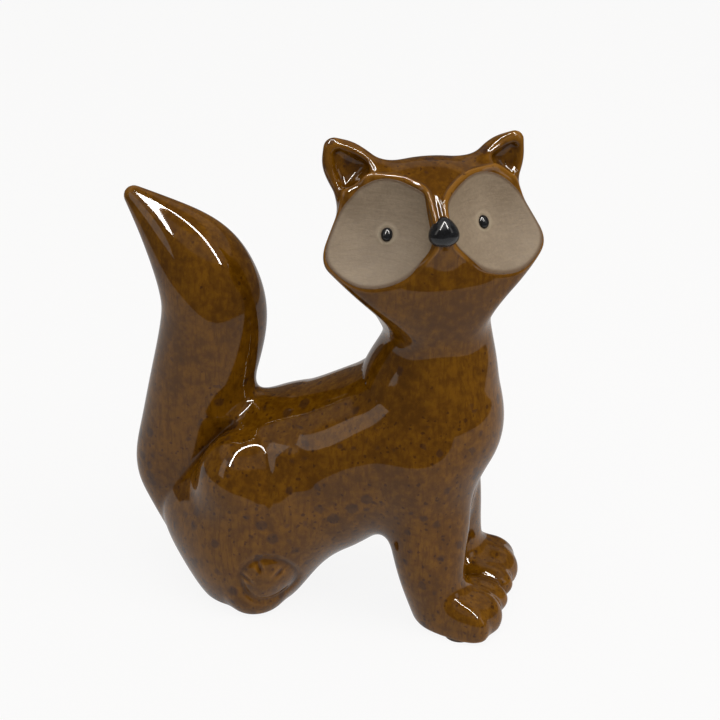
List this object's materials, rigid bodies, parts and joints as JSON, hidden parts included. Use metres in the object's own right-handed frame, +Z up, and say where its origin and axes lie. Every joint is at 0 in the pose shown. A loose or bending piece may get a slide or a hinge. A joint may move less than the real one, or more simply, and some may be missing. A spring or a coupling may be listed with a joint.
{
  "type": "animal figurine",
  "caption": "Seated fox figurine in glossy speckled stoneware, with a turned head, bare clay eye patches and an upright tail.",
  "frame": {"origin": "centre of the fox's bounding box, on the surface it stands on", "axes": "+X toward the front of the body, +Y to the fox's left, +Z up; the body is symmetric about Y = 0 apart from the head, which is turned to the fox's right"},
  "size_m": [0.1328, 0.0644, 0.1617],
  "materials": {
    "honey_glaze": "glossy transparent honey brown glaze with dark speckles",
    "bare_clay": "unglazed warm grey clay, matt",
    "black_glaze": "glossy black glaze",
    "sole_clay": "unglazed fired clay, matt"
  },
  "bodies": {
    "root": {"torso": "honey_glaze", "head": "honey_glaze", "tail": "honey_glaze", "ear_left": "honey_glaze", "ear_right": "honey_glaze", "front_leg_left": "honey_glaze", "front_leg_right": "honey_glaze", "front_paw_left": "honey_glaze", "front_paw_right": "honey_glaze", "hind_leg_left": "honey_glaze", "hind_leg_right": "honey_glaze", "hind_paw_left": "honey_glaze", "hind_paw_right": "honey_glaze", "eye_patch_left": "bare_clay", "eye_patch_right": "bare_clay", "eye_left": "black_glaze", "eye_right": "black_glaze", "nose": "black_glaze", "front_sole_left": "sole_clay", "front_sole_right": "sole_clay", "hind_sole_left": "sole_clay", "hind_sole_right": "sole_clay"}
  },
  "joints": []
}
